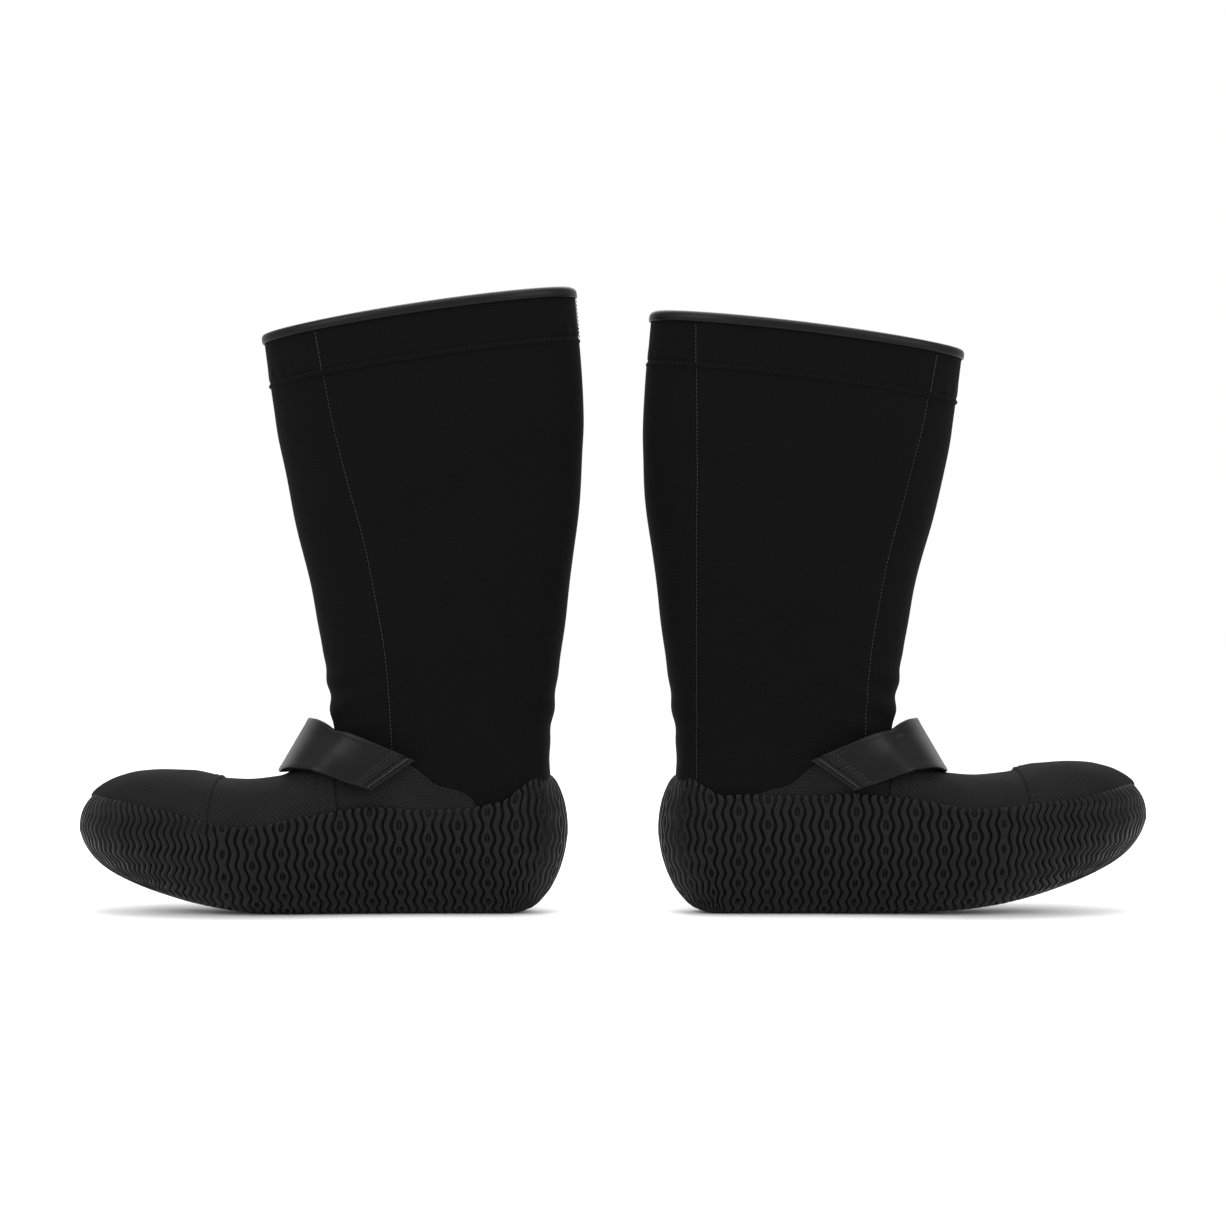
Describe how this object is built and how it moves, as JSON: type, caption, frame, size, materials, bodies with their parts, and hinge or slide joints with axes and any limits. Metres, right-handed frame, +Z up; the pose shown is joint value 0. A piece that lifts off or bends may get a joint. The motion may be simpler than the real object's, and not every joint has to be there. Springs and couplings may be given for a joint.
{
  "type": "neoprene boots",
  "caption": "Pair of knee-high neoprene boots with moulded rubber soles, woven foot panels, a hook-and-loop instep strap and a taped top edge.",
  "frame": {"origin": "middle of the pair's outline on the floor, between the two heels", "axes": "+X along the soles towards the right boot's toe, +Y towards the inner sides of the feet, +Z up"},
  "size_m": [0.6332, 0.1058, 0.3682],
  "materials": {
    "sole_rubber": "moulded black rubber, satin, with a fine wavy tread",
    "neoprene": "matte black nylon-faced neoprene",
    "woven_panel": "black woven nylon bonded to neoprene",
    "binding_tape": "smooth black coated tape",
    "strap_tape": "smooth black coated strap, satin",
    "hook_tape": "black hook tape",
    "loop_tape": "black loop tape",
    "board": "grey fibre board",
    "footbed_foam": "dark foam with a knitted face"
  },
  "bodies": {
    "left_foot": {"left_outsole": "sole_rubber", "left_lasting_board": "board", "left_footbed": "footbed_foam", "left_toe_cap": "woven_panel", "left_vamp": "woven_panel", "left_quarter_lateral": "woven_panel", "left_quarter_medial": "woven_panel", "left_heel_panel": "neoprene", "left_ankle_gusset": "neoprene", "left_strap_tab": "strap_tape", "left_loop_patch": "loop_tape", "left_strap_band": "strap_tape", "left_strap_anchor": "strap_tape"},
    "left_shaft": {"left_shin_panel": "neoprene", "left_lateral_panel": "neoprene", "left_medial_panel": "neoprene", "left_cuff_band": "neoprene", "left_top_binding": "binding_tape"},
    "left_flap": {"left_hook_patch": "hook_tape", "left_strap_flap": "strap_tape"},
    "right_foot": {"right_outsole": "sole_rubber", "right_lasting_board": "board", "right_footbed": "footbed_foam", "right_toe_cap": "woven_panel", "right_vamp": "woven_panel", "right_quarter_lateral": "woven_panel", "right_quarter_medial": "woven_panel", "right_heel_panel": "neoprene", "right_ankle_gusset": "neoprene", "right_strap_tab": "strap_tape", "right_loop_patch": "loop_tape", "right_strap_band": "strap_tape", "right_strap_anchor": "strap_tape"},
    "right_shaft": {"right_shin_panel": "neoprene", "right_lateral_panel": "neoprene", "right_medial_panel": "neoprene", "right_cuff_band": "neoprene", "right_top_binding": "binding_tape"},
    "right_flap": {"right_hook_patch": "hook_tape", "right_strap_flap": "strap_tape"}
  },
  "joints": [
    {"name": "left_ankle_flex", "type": "hinge", "parent": "left_foot", "child": "left_shaft", "pos_m": [-0.1016, 0, 0.108], "axis": [0, -1, 0], "range_deg": [-4.5, 12], "stiffness_Nm_per_rad": 2.5, "deforming": ["left_ankle_gusset"]},
    {"name": "left_strap_open", "type": "hinge", "parent": "left_foot", "child": "left_flap", "pos_m": [-0.1746, -0.00095, 0.1165], "axis": [-0.7268, 0, -0.6868], "range_deg": [0, 100]},
    {"name": "right_boot_apart", "type": "slide", "parent": "left_foot", "child": "right_foot", "axis": [0, 0, 1], "range_m": [0, 0.4]},
    {"name": "right_ankle_flex", "type": "hinge", "parent": "right_foot", "child": "right_shaft", "pos_m": [0.1016, 0, 0.108], "axis": [0, 1, 0], "range_deg": [-4.5, 12], "stiffness_Nm_per_rad": 2.5, "deforming": ["right_ankle_gusset"]},
    {"name": "right_strap_open", "type": "hinge", "parent": "right_foot", "child": "right_flap", "pos_m": [0.1746, -0.00095, 0.1165], "axis": [-0.7641, 0, 0.6451], "range_deg": [0, 100]}
  ]
}
